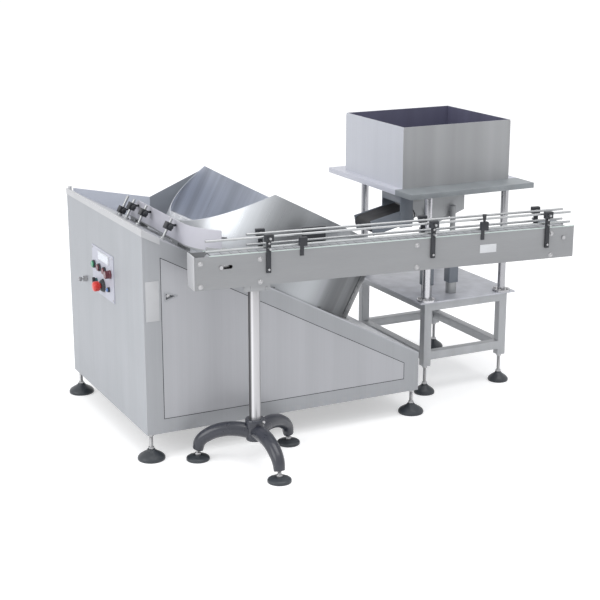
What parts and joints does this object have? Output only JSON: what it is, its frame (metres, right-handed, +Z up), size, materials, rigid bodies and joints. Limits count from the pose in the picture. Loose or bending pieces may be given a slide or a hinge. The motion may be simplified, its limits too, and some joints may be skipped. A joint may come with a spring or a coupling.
{
  "type": "bottle unscrambler",
  "caption": "Free-standing container unscrambler: a tilted rotary drum in a wedge-shaped steel cabinet, an exit lane, a side conveyor on a leg stand and a hopper on its own table.",
  "frame": {"origin": "middle of the machine's bounding box at floor level", "axes": "+X along the machine from the control side to the hopper, +Y from the conveyor at the front to the back, +Z up"},
  "size_m": [2.0404, 1.4996, 1.263],
  "materials": {
    "stainless": "satin brushed",
    "frame_steel": "mill finish",
    "machined_steel": "turned",
    "cast_iron": "painted",
    "white_sheet": "satin",
    "white_plastic": "matte",
    "slat_plastic": "matte",
    "black_plastic": "matte",
    "foot_plastic": "matte",
    "black_iron": "textured",
    "belt_rubber": "matte",
    "motor_paint": "satin",
    "window": "gloss",
    "green_plastic": "gloss",
    "maroon_plastic": "gloss",
    "teal_plastic": "gloss",
    "red_plastic": "gloss"
  },
  "bodies": {
    "frame": {"base_frame": "frame_steel", "left_panel": "stainless", "plain_panels": "stainless", "front_fascia": "stainless", "service_door": "stainless", "door_pull": "stainless", "column_plate": "white_sheet", "deck": "stainless", "deck_rim": "white_sheet", "back_guard": "stainless", "levelling_feet": "foot_plastic", "control_plate": "stainless", "display_window": "window", "bezels": "black_plastic", "drum_shell": "stainless", "slide_ring": "white_plastic", "bearing_unit": "cast_iron", "drive_belt": "belt_rubber", "gear_motors": "motor_paint", "lane_plate": "stainless", "lane_guard": "white_sheet", "lane_rail": "stainless", "guard_posts": "stainless", "guard_clamps": "black_plastic", "side_plates": "stainless", "wear_strips": "white_plastic", "slat_chain": "slat_plastic", "end_plate": "white_sheet", "cross_ties": "stainless", "rail_brackets": "black_plastic", "sensors": "black_plastic", "stand_column": "stainless", "stand_base": "black_iron", "conveyor_arm": "stainless", "table_frame": "stainless", "table_masts": "stainless", "tray": "stainless", "hopper": "stainless", "feed_chute": "stainless", "feeder": "black_plastic", "feed_belt": "belt_rubber"},
    "rotor": {"pocket_disc": "white_plastic", "disc_cone": "stainless", "rotor_shaft": "machined_steel", "rotor_pulley": "cast_iron"},
    "motor_pulley": {"motor_pulley": "cast_iron"},
    "drive_shaft": {"drive_shaft": "machined_steel"},
    "idler_shaft": {"idler_shaft": "machined_steel"},
    "head_roller": {"head_roller": "machined_steel"},
    "tail_roller": {"tail_roller": "machined_steel"},
    "front_rails": {"front_rails": "stainless"},
    "back_rails": {"back_rails": "stainless"},
    "start_button": {"start_button": "green_plastic"},
    "stop_button": {"stop_button": "maroon_plastic"},
    "jog_button": {"jog_button": "maroon_plastic"},
    "speed_knob": {"speed_knob": "maroon_plastic"},
    "selector_switch": {"selector_switch": "teal_plastic"},
    "estop_button": {"estop_button": "red_plastic"},
    "key_lock": {"key_lock": "black_plastic"},
    "door_latch": {"door_latch": "stainless"}
  },
  "joints": [
    {"name": "rotor_spin", "type": "hinge", "parent": "frame", "child": "rotor", "pos_m": [-0.26225, 0.22389, 0.60473], "axis": [0.4694, 0, 0.883], "continuous": true},
    {"name": "motor_spin", "type": "hinge", "parent": "frame", "child": "motor_pulley", "pos_m": [-0.02384, 0.22389, 0.47801], "axis": [0.4694, 0, 0.883], "continuous": true},
    {"name": "drive_spin", "type": "hinge", "parent": "frame", "child": "drive_shaft", "pos_m": [0.80419, -0.61504, 0.853], "axis": [0.1115, 0.9938, 0], "continuous": true},
    {"name": "idler_spin", "type": "hinge", "parent": "frame", "child": "idler_shaft", "pos_m": [-0.71835, -0.44426, 0.853], "axis": [0.1115, 0.9938, 0], "continuous": true},
    {"name": "head_roller_spin", "type": "hinge", "parent": "frame", "child": "head_roller", "pos_m": [0.28825, 0.13389, 0.806], "axis": [0, 1, 0], "continuous": true},
    {"name": "tail_roller_spin", "type": "hinge", "parent": "frame", "child": "tail_roller", "pos_m": [0.46432, 0.13389, 0.84342], "axis": [0, 1, 0], "continuous": true},
    {"name": "front_rails_slide", "type": "slide", "parent": "frame", "child": "front_rails", "axis": [0.1115, 0.9938, 0], "range_m": [0, 0.016]},
    {"name": "back_rails_slide", "type": "slide", "parent": "frame", "child": "back_rails", "axis": [-0.1115, -0.9938, 0], "range_m": [0, 0.016]},
    {"name": "start_press", "type": "slide", "parent": "frame", "child": "start_button", "axis": [1, 0, 0], "range_m": [0, 0.003], "stiffness_N_per_m": 900, "springref_m": -0.003},
    {"name": "stop_press", "type": "slide", "parent": "frame", "child": "stop_button", "axis": [1, 0, 0], "range_m": [0, 0.003], "stiffness_N_per_m": 900, "springref_m": -0.003},
    {"name": "jog_press", "type": "slide", "parent": "frame", "child": "jog_button", "axis": [1, 0, 0], "range_m": [0, 0.003], "stiffness_N_per_m": 900, "springref_m": -0.003},
    {"name": "estop_press", "type": "slide", "parent": "frame", "child": "estop_button", "axis": [1, 0, 0], "range_m": [0, 0.005], "stiffness_N_per_m": 900, "springref_m": -0.003},
    {"name": "speed_turn", "type": "hinge", "parent": "frame", "child": "speed_knob", "pos_m": [-0.96825, 0.12989, 0.71], "axis": [-1, 0, 0], "range_deg": [0, 270]},
    {"name": "selector_turn", "type": "hinge", "parent": "frame", "child": "selector_switch", "pos_m": [-0.96825, 0.31539, 0.638], "axis": [-1, 0, 0], "range_deg": [-45, 45]},
    {"name": "key_turn", "type": "hinge", "parent": "frame", "child": "key_lock", "pos_m": [-0.96825, 0.46589, 0.614], "axis": [-1, 0, 0], "range_deg": [0, 90]},
    {"name": "latch_turn", "type": "hinge", "parent": "frame", "child": "door_latch", "pos_m": [-0.85925, -0.26611, 0.69613], "axis": [0, 1, 0], "range_deg": [0, 90]}
  ],
  "couplings": [
    {"joint": "motor_spin", "follows": "rotor_spin", "ratio": 3.1111},
    {"joint": "idler_spin", "follows": "drive_spin", "ratio": 1},
    {"joint": "tail_roller_spin", "follows": "head_roller_spin", "ratio": 1}
  ]
}
